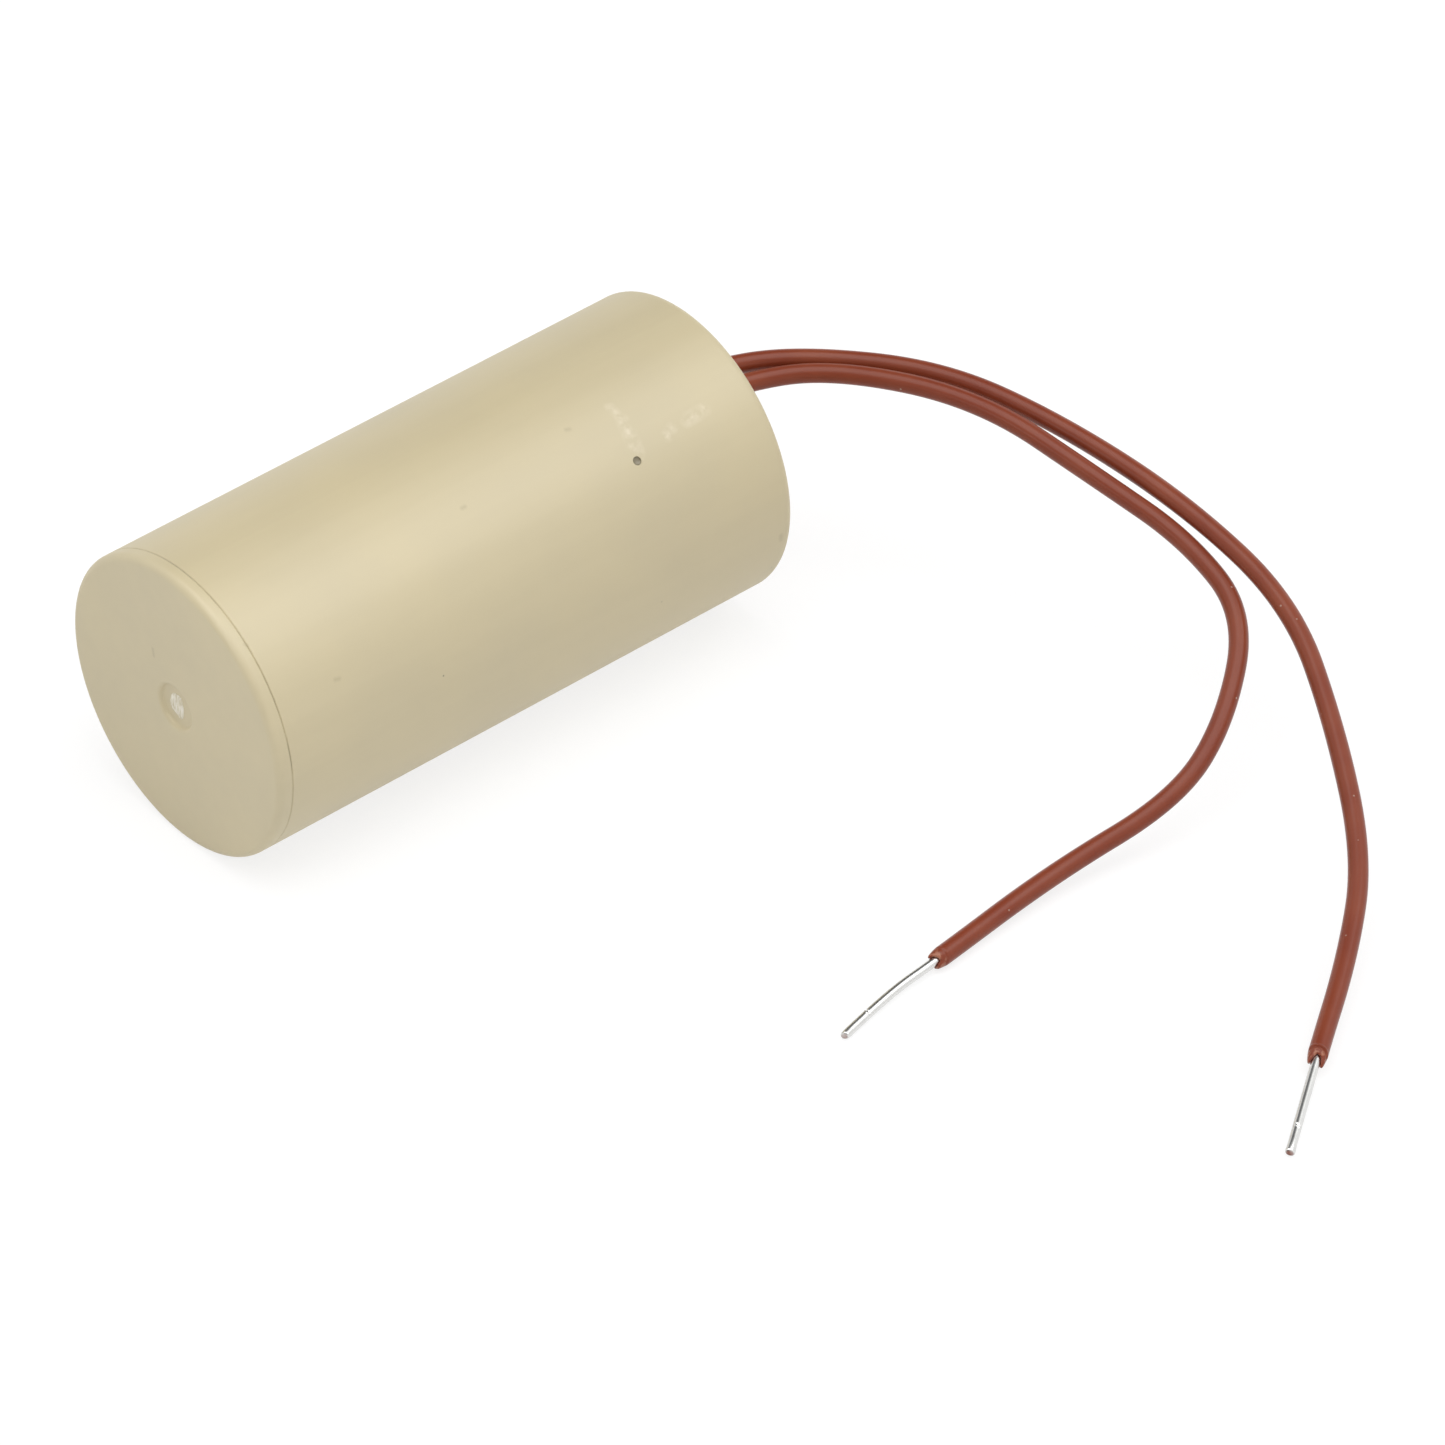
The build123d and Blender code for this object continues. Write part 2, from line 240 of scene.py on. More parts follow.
def sleeve(name, line, mouth, lobe, notch_turn, bite):
    """A lead's sleeve. Its mouth is moved by lobe * (0.5 - cos(2 * (turn - notch_turn))) and ripples."""
    start, end = lead_distances(line, mouth)
    turn = full_turn(sleeve_around)
    outside = np.concatenate([np.arange(start, end - close_length - 0.2 * MM, plain_step),
                              end - np.linspace(close_length, lip_length, close_rings)])
    lip_turn = np.linspace(0, np.pi, 7)[1:]
    lip = end - lip_length + lip_length * np.sin(lip_turn)
    bore = end - mouth_bore_depths
    stations = np.concatenate([outside, lip, bore])
    swell = 0.006 * MM * (np.sin(outside / (7.3 * MM)) + np.sin(outside / (2.9 * MM) + 1))
    # The stretched plastic springs back and hugs the wire, so the last millimetre tapers
    taper = taper_depth * np.clip(1 - (end - outside) / taper_length, 0, 1) ** 1.6
    outline = np.concatenate([sleeve_radius + swell - taper, lip_middle + lip_half_width * np.cos(lip_turn),
                              np.full(len(bore), mouth_bore_radius)])
    radii = outline[:, None] + 0 * turn
    # A blade left a bite across the notch's side, and it pressed up a small burr behind it
    facing = np.clip(np.cos(turn - notch_turn), 0, 1) ** 0.5
    from_bite = (outside - end + bite_back)[:, None] - bite_slant * np.sin(turn - notch_turn)
    radii[:len(outside)] -= bite * facing * np.exp(-(from_bite / bite_width) ** 2)
    radii[:len(outside)] += 0.5 * bite * facing * np.exp(-((from_bite + burr_back) / burr_width) ** 2)
    # The tear: two lobes, with small ripples whose phase differs between the leads
    ripple = 0.05 * MM * np.sin(5 * turn + 9 * lobe / MM) + 0.03 * MM * np.sin(9 * turn + 2)
    tear = ripple + lobe * (0.5 - np.cos(2 * (turn - notch_turn)))
    fade = np.clip(1 - (end - stations) / tear_length, 0, 1)[:, None]
    points = skin_points(line, stations, radii, tear[None] * fade, sleeve_around)
    # Along the outside U counts up to 0 at the lip, and then goes on over the lip and into the bore
    over_lip = 0.14 * MM * lip_turn
    across = np.concatenate([outside - end + lip_length, over_lip, over_lip[-1] + end - bore])
    piece = skin(name, points, across)
    return piece, at_distance(line, np.linspace(start, end, 400))


sleeve_a, sleeve_a_centres = sleeve("lead_a_sleeve", line_a, lead_a_mouth, 0.42 * MM, 1.94, 0.15 * MM)
sleeve_b, sleeve_b_centres = sleeve("lead_b_sleeve", line_b, lead_b_mouth, 0.24 * MM, 2.63, 0.05 * MM)

# %% [markdown]
# ## The wires
# Each wire is one drawn rod of tinned copper. Most of it is hidden in the sleeve and the can. Side
# cutters pinched off its end, which leaves a rounded shoulder and shows the copper, and a blade left a
# slanting nick across it a few millimetres before that, with a burr on one side. The radius is a
# function of the distance along the wire and the turn.

# %% Wire
wire_around = 24
wire_step = 0.5 * MM
# The cut end: the length of its shoulder, the radius of its flat, how oval the pinch made it and how
# far back that reaches, and how slanted the cut is and how far back that reaches
shoulder_length, flat_radius = 0.22 * MM, 0.16 * MM
pinch_depth, pinch_length = 0.07 * MM, 0.5 * MM
cut_slant, cut_length = 0.05 * MM, 0.3 * MM
# The nick and its burr: depth or height, width, and the burr's distance from the nick
nick_depth, nick_width, nick_slant = 0.08 * MM, 0.07 * MM, 0.2 * MM
nick_burr, nick_burr_width, nick_burr_off = 0.04 * MM, 0.06 * MM, 0.16 * MM


def wire(name, line, nick_from_end, nick_turn):
    """A round rod along the line, with its end drawn in as a quarter round, and a shallow nick across it."""
    end = distances(line)[-1]
    turn = full_turn(wire_around)
    shoulder_turn = np.linspace(0, np.pi / 2, 7)[:-1]
    shoulder = end - shoulder_length + shoulder_length * np.sin(shoulder_turn)
    near_nick = end - nick_from_end + np.linspace(-0.4, 0.4, 17) * MM
    plain = np.concatenate([np.arange(0, end - wire_step, wire_step), near_nick])
    plain = np.unique(plain[plain < end - cut_length])
    stations = np.concatenate([plain, shoulder])
    radii = np.full((len(stations), wire_around), wire_radius)
    radii[-len(shoulder):] = (flat_radius + (wire_radius - flat_radius) * np.cos(shoulder_turn))[:, None]
    facing = np.clip(np.cos(turn - nick_turn), 0, 1)
    from_nick = stations[:, None] - (end - nick_from_end) - nick_slant * np.sin(turn - nick_turn)
    radii -= nick_depth * facing * np.exp(-(from_nick / nick_width) ** 2)
    radii += nick_burr * facing * np.exp(-((from_nick - nick_burr_off) / nick_burr_width) ** 2)
    # Both fade in towards the end: the pinch makes the rod oval, and the cut leans over
    pinch = pinch_depth * np.clip(1 - (end - stations) / pinch_length, 0, 1)[:, None]
    radii *= 1 - pinch * np.cos(2 * (turn - nick_turn)) / wire_radius
    shifts = cut_slant * np.clip(1 - (end - stations) / cut_length, 0, 1)[:, None] * np.cos(turn)
    points = skin_points(line, stations, radii, shifts, wire_around)
    return skin(name, points, end - stations, caps=(True, True))


wire_a = wire("lead_a_wire", line_a, 2.95 * MM, 2.2)
wire_b = wire("lead_b_wire", line_b, 3.4 * MM, 1.2)

# %% [markdown]
# ## The CAD leads are hidden
# A lead has a real length and thickness, leaves the can at its hole, and its far end is bare wire. The
# sleeves and wires built above stand in for the CAD model's leads, so those are hidden.

for piece, inner_wire, letter, hole, centres in (
    (sleeve_a, wire_a, "a", lead_a_hole, sleeve_a_centres),
    (sleeve_b, wire_b, "b", lead_b_hole, sleeve_b_centres),
):
    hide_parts(f"lead_{letter}_insulation")
    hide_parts(f"lead_{letter}_conductor")

# %% [markdown]
# ## The lid
# The lid is a moulded disc with a rounded rim and a ring that plugs into the can. Near the middle of its
# face is a shallow dimple, where the plastic came in through the gate. A turned surface gives all of
# it: an outline of distance along the can and distance from its axis, carried round the axis. The rings
# of the dimple then move a tenth of a millimetre, because the gate isn't quite in the middle.


# %% Lid surface
def arc(centre, radius, first, last, count=8):
    """Points on a circle, from the first angle to the last, as pairs (along the can, from its axis)."""
    turn = np.linspace(np.radians(first), np.radians(last), count)
    return np.column_stack([centre[0] + radius * np.cos(turn), centre[1] + radius * np.sin(turn)])


def turned(outline, around):
    """Rings of a surface of revolution: a pair (x, r) becomes (x, r * cos(turn), axis + r * sin(turn))."""
    turn = full_turn(around)
    x, r = outline[:, 0, None], outline[:, 1, None]
    return np.stack([x + 0 * turn, r * np.cos(turn), can_axis_z + r * np.sin(turn)], axis=-1)


lid_around = 160
lid_rim = 0.72 * MM
seam_edge = 0.06 * MM
# The dimple: its floor, the round at its foot and the softer round at its rim, each as radius and place
dimple_floor_x = lid_face_x + 0.38 * MM
foot_round, foot_place = 0.3 * MM, 1.86 * MM
rim_round, rim_place = 0.5 * MM, 2.48 * MM
dimple_end = 2.7 * MM
dimple_shift = np.array((0, -0.03, 0.08)) * MM
# The plug ring, with a chamfer that leads it into the can
plug_outer = 12.75 * MM
plug_inner = 11.55 * MM
plug_chamfer = 0.3 * MM
plug_end_x = lid_high.x
# A small flat at each pole, which the caps close
pole = 0.05 * MM
lid_outline = np.vstack([
    [(dimple_floor_x, pole), (dimple_floor_x, 1.0 * MM), (dimple_floor_x, 1.6 * MM)],
    arc((dimple_floor_x - foot_round, foot_place), foot_round, 0, 45),
    arc((lid_face_x + rim_round, rim_place), rim_round, 225, 180),
    [(lid_face_x, 2.8 * MM), (lid_face_x, 5 * MM), (lid_face_x, 9 * MM), (lid_face_x, 12.5 * MM)],
    arc((lid_face_x + lid_rim, can_radius - lid_rim), lid_rim, 180, 90, 10),
    [(seam_x - 2 * seam_edge, can_radius), (seam_x - seam_edge, can_radius),
     (seam_x, can_radius - seam_edge), (seam_x, plug_outer + 0.05 * MM), (seam_x, plug_outer),
     (plug_end_x - plug_chamfer, plug_outer), (plug_end_x, plug_outer - plug_chamfer),
     (plug_end_x, plug_inner), (seam_x, plug_inner), (seam_x, pole)],
])
lid_rings = turned(lid_outline, lid_around)
in_dimple = (lid_outline[:, 0] < seam_x) & (lid_outline[:, 1] < dimple_end)
lid_rings[in_dimple] += dimple_shift
lid = skin("lid", lid_rings[::-1], lid_outline[::-1, 0], caps=(True, True))
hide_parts("end_lid")

# %% [markdown]
# ## The gate stub
# When the lid is pulled from its mould, the plastic tears off at the gate. What stays in the dimple is
# a low, pale, rough mound, stretched a little upwards, with torn ridges that run the same way. Its edge
# is a few radii at listed angles, counted from +Y towards +Z, with straight steps between them.

# %% Gate stub
gate_around, gate_rings = 64, 22
gate_height = 0.30 * MM
gate_off_centre = 0.12 * MM
gate_sunk = 0.02 * MM
gate_turn = full_turn(gate_around)
gate_share = np.linspace(1, 0.02, gate_rings)[:, None]
edge_turn = np.radians((20, 64, 98, 124, 142, 203, 249, 266, 318))
edge_radius = np.array((0.98, 1.18, 1.26, 1.30, 0.88, 0.94, 1.34, 0.98, 0.94)) * MM
gate_edge = np.interp(gate_turn, edge_turn, edge_radius, period=2 * np.pi)
gate_y = gate_off_centre + gate_share * gate_edge * np.cos(gate_turn)
gate_z = can_axis_z + gate_share * gate_edge * np.sin(gate_turn)
# Two sets of ridges, a coarse one that wavers and a fine one that leans, as waves between -1 and 1
gate_ridges = (0.5 * np.sin(gate_y / (0.085 * MM) + 0.6 * np.sin(gate_z / (0.3 * MM)))
               + 0.5 * np.sin(gate_y / (0.05 * MM) + gate_z / (0.21 * MM)))
gate_rise = gate_height * (1 - gate_share ** 2) ** 0.6 * (0.78 + 0.2 * gate_ridges)
gate_x = dimple_floor_x + gate_sunk - gate_rise
gate_points = np.stack([gate_x, gate_y, gate_z], axis=-1)
gate_stub = skin("gate_stub", gate_points, gate_share[:, 0], caps=(True, True))

# %% [markdown]
# ## Resin in the pin-hole
# When the can was potted, a little resin rose into the pin-hole and set there. Its top is a shallow
# hollow, higher where it wets the wall. It is a turned surface too, about the axis of the hole, which
# stands square on the can's wall.

# %% Resin plug
pin_hole_x = rear_face_x - 13.8 * MM
pin_hole_turn = np.radians(133.3)
pin_out = np.array((0, np.cos(pin_hole_turn), np.sin(pin_hole_turn)))
pin_side = np.array((0, -np.sin(pin_hole_turn), np.cos(pin_hole_turn)))
# The resin's radius, how deep its middle and its foot lie below the can's wall, and its rise at the edge
resin_radius = 0.39 * MM
resin_deep, resin_foot_deep = 0.20 * MM, 1.15 * MM
resin_rise = 0.12 * MM
resin_share = np.linspace(0.02, 1, 9)
resin_top = can_radius - resin_deep + resin_rise * resin_share ** 3
resin_out = np.concatenate([resin_top, [can_radius - resin_foot_deep]])
resin_radii = resin_radius * np.concatenate([resin_share, [1]])[:, None]
resin_turn = full_turn(24)
resin_rings = (np.array((pin_hole_x, 0, can_axis_z)) + resin_out[:, None, None] * pin_out
               + (resin_radii * np.cos(resin_turn))[..., None] * np.array((1, 0, 0))
               + (resin_radii * np.sin(resin_turn))[..., None] * pin_side)
resin_plug = skin("pin_hole_resin", resin_rings, resin_out, caps=(True, True))

# %% [markdown]
# ## Materials: helpers
# Colours are easiest to read as hex codes from a colour picker, but a shader works with linear light,
# so one function converts them. Another adds a node with its settings and links in one line: names in
# small letters are the node's own settings, other names and numbers are its inputs. A third draws wear:
# straight strokes of a given width, in the object's own millimetres.


# %% Colour and node helpers
def linear(hex_colour):
    """An sRGB hex colour as linear red, green, blue and alpha."""
    srgb = np.array([int(hex_colour[k:k + 2], 16) for k in (1, 3, 5)]) / 255
    light = np.where(srgb <= 0.04045, srgb / 12.92, ((srgb + 0.055) / 1.055) ** 2.4)
    return (*light, 1.0)


def add(material, kind, settings=None, links=None):
    """Adds a shader node to a material, sets it, and links sockets into it."""
    tree = material.node_tree
    node = tree.nodes.new("ShaderNode" + kind)
    for name, value in (settings or {}).items():
        if isinstance(name, str) and name[0].islower():
            setattr(node, name, value)
        else:
            node.inputs[name].default_value = value
    for name, socket in (links or {}).items():
        tree.links.new(socket, node.inputs[name])
    return node


def new_material(name, settings):
    """A material with one Principled shader, and that shader's settings."""
    material = bpy.data.materials.new(name)
    material.use_nodes = True
    shader = material.node_tree.nodes["Principled BSDF"]
    for socket, value in settings.items():
        shader.inputs[socket].default_value = value
    return material, shader


def strokes(material, place, marks):
    """1 in the middle of any mark, 0 from its half width outwards: (start, end, half width) in mm."""
    worn = None
    for start, end, half_width in marks:
        start, run = np.array(start) * MM, (np.array(end) - start) * MM
        off = add(material, "VectorMath", {"operation": "SUBTRACT", 1: start}, {0: place})
        share = add(material, "VectorMath", {"operation": "DOT_PRODUCT", 1: run / (run @ run)},
                    {0: off.outputs[0]})
        share = add(material, "Math", {"operation": "ADD", "use_clamp": True, 1: 0.0},
                    {0: share.outputs["Value"]})
        nearest = add(material, "VectorMath", {"operation": "SCALE", 0: run}, {"Scale": share.outputs[0]})
        away = add(material, "VectorMath", {"operation": "DISTANCE"},
                   {0: off.outputs[0], 1: nearest.outputs[0]})
        mark = add(material, "MapRange", {"From Min": half_width * MM, "From Max": 0.0},
                   {"Value": away.outputs["Value"]})
        if worn is None:
            worn = mark.outputs[0]
        else:
            worn = add(material, "Math", {"operation": "MAXIMUM"}, {0: worn, 1: mark.outputs[0]}).outputs[0]
    return worn


def dress(piece, material):
    """The piece wears this material alone."""
    piece.data.materials.clear()
    piece.data.materials.append(material)


# %% [markdown]
# ## Moulded PBT, beige
# The can and lid are injection moulded from a filled polyester. The mould's fine spark-eroded texture
# makes it satin: a soft broad highlight, no clear reflections. Its colour clouds a little over some
# centimetres, and flow lines run along the can. The grain of the real mould is about 0.05 mm, too fine
# for this picture, so it is drawn at 0.3 mm. Dirt has settled in the seam, and there are a few dark
# specks and two pale scuffs by the pin-hole.

# %% Case plastic
case_plastic, shader = new_material("moulded_pbt_beige", {"IOR": 1.58, "Specular IOR Level": 0.75})
place = add(case_plastic, "TexCoord").outputs["Object"]
clouds = add(case_plastic, "TexNoise", {"Scale": 1 / (14 * MM), "Detail": 3.0}, {"Vector": place})
stretched = add(case_plastic, "Mapping", {"Scale": (1 / (25 * MM), 1 / (1.6 * MM), 1 / (1.6 * MM))},
                {"Vector": place})
flow = add(case_plastic, "TexNoise", {"Scale": 1.0, "Detail": 2.0}, {"Vector": stretched.outputs[0]})
cloud_part = add(case_plastic, "MapRange", {"From Min": 0.3, "From Max": 0.7}, {"Value": clouds.outputs[0]})
colour = add(case_plastic, "Mix", {"data_type": "RGBA", 6: linear("#cabd9a"), 7: linear("#d0c29c")},
             {0: cloud_part.outputs[0]})
flow_part = add(case_plastic, "MapRange", {"From Min": 0.35, "From Max": 0.65, "To Max": 0.10},
                {"Value": flow.outputs[0]})
colour = add(case_plastic, "Mix", {"data_type": "RGBA", 7: linear("#dccfac")},
             {0: flow_part.outputs[0], 6: colour.outputs[2]})

# Dark specks: the middle of every tenth or so cell of a Voronoi pattern
cells = add(case_plastic, "TexVoronoi", {"Scale": 1 / (3.4 * MM), "Randomness": 1.0}, {"Vector": place})
chosen = add(case_plastic, "SeparateColor", None, {0: cells.outputs["Color"]})
rare = add(case_plastic, "Math", {"operation": "GREATER_THAN", 1: 0.86}, {0: chosen.outputs[0]})
dot = add(case_plastic, "MapRange", {"From Min": 0.035, "From Max": 0.012}, {"Value": cells.outputs[0]})
speck = add(case_plastic, "Math", {"operation": "MULTIPLY"}, {0: rare.outputs[0], 1: dot.outputs[0]})
colour = add(case_plastic, "Mix", {"data_type": "RGBA", 7: linear("#8f8468")},
             {0: speck.outputs[0], 6: colour.outputs[2]})

# Dirt in the seam: a thin band round the can at the seam's place, only near its surface
from_seam = add(case_plastic, "SeparateXYZ", None, {0: place})
off_seam = add(case_plastic, "Math", {"operation": "SUBTRACT", 1: seam_x}, {0: from_seam.outputs[0]})
off_seam = add(case_plastic, "Math", {"operation": "ABSOLUTE"}, {0: off_seam.outputs[0]})
seam_part = add(case_plastic, "MapRange", {"From Min": 0.11 * MM, "From Max": 0.03 * MM},
                {"Value": off_seam.outputs[0]})
patches = add(case_plastic, "TexNoise", {"Scale": 1 / (3 * MM), "Detail": 2.0}, {"Vector": place})
patch_part = add(case_plastic, "MapRange", {"From Min": 0.4, "From Max": 0.65, "To Max": 0.4},
                 {"Value": patches.outputs[0]})
dirt = add(case_plastic, "Math", {"operation": "MULTIPLY"},
           {0: seam_part.outputs[0], 1: patch_part.outputs[0]})
colour = add(case_plastic, "Mix", {"data_type": "RGBA", 7: linear("#7a705a")},
             {0: dirt.outputs[0], 6: colour.outputs[2]})

# Wear: pale scuffs near the pin-hole, which a fine noise breaks up, and a few small dark smudges
scuffed = strokes(case_plastic, place, [
    ((15.1, -5.2, 27.0), (15.3, -6.8, 26.3), 0.6), ((15.3, -6.8, 26.3), (14.8, -9.1, 24.6), 0.9),
    ((22.6, -8.7, 25.0), (20.6, -8.8, 24.9), 0.8), ((18.9, -8.8, 24.9), (18.2, -9.1, 24.7), 0.7),
])
broken = add(case_plastic, "TexNoise", {"Scale": 1 / (0.8 * MM), "Detail": 3.0}, {"Vector": place})
broken_part = add(case_plastic, "MapRange", {"From Min": 0.4, "From Max": 0.65, "To Max": 0.4},
                  {"Value": broken.outputs[0]})
scuff_part = add(case_plastic, "Math", {"operation": "MULTIPLY"}, {0: scuffed, 1: broken_part.outputs[0]})
colour = add(case_plastic, "Mix", {"data_type": "RGBA", 7: linear("#f4ead6")},
             {0: scuff_part.outputs[0], 6: colour.outputs[2]})
smudged = strokes(case_plastic, place, [
    ((10.3, -5.2, 27.0), (10.6, -5.3, 27.0), 0.3), ((-2.5, -6.9, 26.2), (-2.2, -6.9, 26.2), 0.3),
    ((26.8, -13.9, 12.3), (26.9, -13.9, 11.7), 0.35), ((-26.9, -8.3, 25.3), (-26.8, -8.5, 25.2), 0.25),
    ((-28.2, 2.6, 18.0), (-28.2, 2.7, 18.7), 0.25), ((-20.7, -12.3, 20.7), (-20.3, -12.3, 20.6), 0.3),
])
smudge_part = add(case_plastic, "Math", {"operation": "MULTIPLY", 1: 0.22}, {0: smudged})
colour = add(case_plastic, "Mix", {"data_type": "RGBA", 7: linear("#80703f")},
             {0: smudge_part.outputs[0], 6: colour.outputs[2]})
case_plastic.node_tree.links.new(colour.outputs[2], shader.inputs["Base Color"])

# Satin finish: roughness that varies a little, and a fine grain in the bump
rough = add(case_plastic, "MapRange", {"To Min": 0.40, "To Max": 0.50}, {"Value": flow.outputs[0]})
case_plastic.node_tree.links.new(rough.outputs[0], shader.inputs["Roughness"])
grain = add(case_plastic, "TexNoise", {"Scale": 1 / (0.3 * MM), "Detail": 2.0}, {"Vector": place})
grain_bump = add(case_plastic, "Bump", {"Strength": 0.25, "Distance": 0.01 * MM},
                 {"Height": grain.outputs[0]})
wave_bump = add(case_plastic, "Bump", {"Strength": 0.3, "Distance": 0.05 * MM},
                {"Height": clouds.outputs[0], "Normal": grain_bump.outputs[0]})
case_plastic.node_tree.links.new(wave_bump.outputs[0], shader.inputs["Normal"])
for piece in (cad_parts["case"], lid):
    dress(piece, case_plastic)
print("case plastic nodes:", len(case_plastic.node_tree.nodes))

# %% [markdown]
# ## Torn PBT at the gate
# Where plastic tears, it turns pale, because the torn fibres scatter light. It is the same plastic, so
# only its colour and its roughness change.

# %% Gate plastic
torn_plastic, shader = new_material("torn_pbt", {"IOR": 1.5, "Roughness": 0.6})
place = add(torn_plastic, "TexCoord").outputs["Object"]
stretched = add(torn_plastic, "Mapping", {"Scale": (1 / (0.2 * MM), 1 / (0.12 * MM), 1 / (0.8 * MM))},
                {"Vector": place})
fibres = add(torn_plastic, "TexNoise", {"Scale": 1.0, "Detail": 4.0}, {"Vector": stretched.outputs[0]})
fibre_part = add(torn_plastic, "MapRange", {"From Min": 0.35, "From Max": 0.65}, {"Value": fibres.outputs[0]})
colour = add(torn_plastic, "Mix", {"data_type": "RGBA", 6: linear("#d2c8aa"), 7: linear("#fbf6ea")},
             {0: fibre_part.outputs[0]})
torn_plastic.node_tree.links.new(colour.outputs[2], shader.inputs["Base Color"])
torn_bump = add(torn_plastic, "Bump", {"Strength": 0.8, "Distance": 0.05 * MM}, {"Height": fibres.outputs[0]})
torn_plastic.node_tree.links.new(torn_bump.outputs[0], shader.inputs["Normal"])
dress(gate_stub, torn_plastic)

# %% [markdown]
# ## Extruded PVC, brick brown
# The sleeve is soft plastic drawn over the wire through a die. The die leaves fine lines along it, and
# its satin skin shows one soft streak of light from end to end. Soft plastic picks up dust, which shows
# as tiny pale specks. The pattern follows the sleeve through its UV map, where U is metres from the
# mouth: below zero it is the skin, just above zero the fresh, paler tear, and beyond it the dark bore.

# %% Sleeve plastic
sleeve_plastic, shader = new_material("extruded_pvc_brown", {"IOR": 1.52, "Specular IOR Level": 0.28})
uv = add(sleeve_plastic, "UVMap", {"uv_map": "along_round"}).outputs[0]
place = add(sleeve_plastic, "TexCoord").outputs["Object"]
die = add(sleeve_plastic, "Mapping", {"Scale": (1 / (18 * MM), 9.0, 1.0)}, {"Vector": uv})
die_lines = add(sleeve_plastic, "TexNoise", {"Scale": 1.0, "Detail": 3.0}, {"Vector": die.outputs[0]})
clouds = add(sleeve_plastic, "TexNoise", {"Scale": 1 / (5 * MM), "Detail": 2.0}, {"Vector": place})
cloud_part = add(sleeve_plastic, "MapRange", {"From Min": 0.3, "From Max": 0.7}, {"Value": clouds.outputs[0]})
colour = add(sleeve_plastic, "Mix", {"data_type": "RGBA", 6: linear("#833a25"), 7: linear("#8e462e")},
             {0: cloud_part.outputs[0]})
dust = add(sleeve_plastic, "TexVoronoi", {"Scale": 1 / (0.9 * MM)}, {"Vector": place})
chosen = add(sleeve_plastic, "SeparateColor", None, {0: dust.outputs["Color"]})
rare = add(sleeve_plastic, "Math", {"operation": "GREATER_THAN", 1: 0.88}, {0: chosen.outputs[0]})
dot = add(sleeve_plastic, "MapRange", {"From Min": 0.13, "From Max": 0.06, "To Max": 0.6},
          {"Value": dust.outputs[0]})
speck = add(sleeve_plastic, "Math", {"operation": "MULTIPLY"}, {0: rare.outputs[0], 1: dot.outputs[0]})
colour = add(sleeve_plastic, "Mix", {"data_type": "RGBA", 7: linear("#cdb6a6")},
             {0: speck.outputs[0], 6: colour.outputs[2]})

# The tear: pale in patches near the lip, and dark once it is inside the bore
from_lip = add(sleeve_plastic, "SeparateXYZ", None, {0: uv})
near_lip = add(sleeve_plastic, "MapRange", {"From Min": -0.6 * MM, "From Max": -0.1 * MM},
               {"Value": from_lip.outputs[0]})
patches = add(sleeve_plastic, "TexNoise", {"Scale": 1 / (0.45 * MM), "Detail": 2.0}, {"Vector": place})
pale_patch = add(sleeve_plastic, "MapRange", {"From Min": 0.48, "From Max": 0.6, "To Max": 0.5},
                 {"Value": patches.outputs[0]})
pale_part = add(sleeve_plastic, "Math", {"operation": "MULTIPLY"},
                {0: near_lip.outputs[0], 1: pale_patch.outputs[0]})
colour = add(sleeve_plastic, "Mix", {"data_type": "RGBA", 7: linear("#cb9176")},
             {0: pale_part.outputs[0], 6: colour.outputs[2]})
bore_part = add(sleeve_plastic, "MapRange", {"From Min": 0.25 * MM, "From Max": 0.5 * MM},
                {"Value": from_lip.outputs[0]})
colour = add(sleeve_plastic, "Mix", {"data_type": "RGBA", 7: linear("#87402c")},
             {0: bore_part.outputs[0], 6: colour.outputs[2]})
sleeve_plastic.node_tree.links.new(colour.outputs[2], shader.inputs["Base Color"])
rough = add(sleeve_plastic, "MapRange", {"To Min": 0.25, "To Max": 0.35}, {"Value": die_lines.outputs[0]})
sleeve_plastic.node_tree.links.new(rough.outputs[0], shader.inputs["Roughness"])
line_bump = add(sleeve_plastic, "Bump", {"Strength": 0.5, "Distance": 0.02 * MM},
                {"Height": die_lines.outputs[0]})
speck_bump = add(sleeve_plastic, "Bump", {"Strength": 0.5, "Distance": 0.03 * MM},
                 {"Height": speck.outputs[0], "Normal": line_bump.outputs[0]})
sleeve_plastic.node_tree.links.new(speck_bump.outputs[0], shader.inputs["Normal"])
dress(sleeve_a, sleeve_plastic)
dress(sleeve_b, sleeve_plastic)

# %% [markdown]
# ## Tinned copper wire
# Tin is a bright, slightly warm white metal. The drawing die leaves fine lines along the wire. The cut
# end shows the copper, dulled to brown: on the wire's UV map, U is the distance from the end, so the
# copper is where it is next to nothing, with an edge that a noise makes uneven.

# %% Wire metal
tinned_copper, shader = new_material("tinned_copper", {"Metallic": 1.0, "Roughness": 0.26})
uv = add(tinned_copper, "UVMap", {"uv_map": "along_round"}).outputs[0]
place = add(tinned_copper, "TexCoord").outputs["Object"]
drawn = add(tinned_copper, "Mapping", {"Scale": (1 / (4 * MM), 14.0, 1.0)}, {"Vector": uv})
drawn_lines = add(tinned_copper, "TexNoise", {"Scale": 1.0, "Detail": 3.0}, {"Vector": drawn.outputs[0]})
tarnish = add(tinned_copper, "TexNoise", {"Scale": 1 / (0.9 * MM), "Detail": 3.0}, {"Vector": place})
from_end = add(tinned_copper, "SeparateXYZ", None, {0: uv})
uneven = add(tinned_copper, "Math", {"operation": "MULTIPLY_ADD", 1: -0.25 * MM},
             {0: tarnish.outputs[0], 2: from_end.outputs[0]})
copper_part = add(tinned_copper, "MapRange", {"From Min": -0.05 * MM, "From Max": -0.16 * MM},
                  {"Value": uneven.outputs[0]})
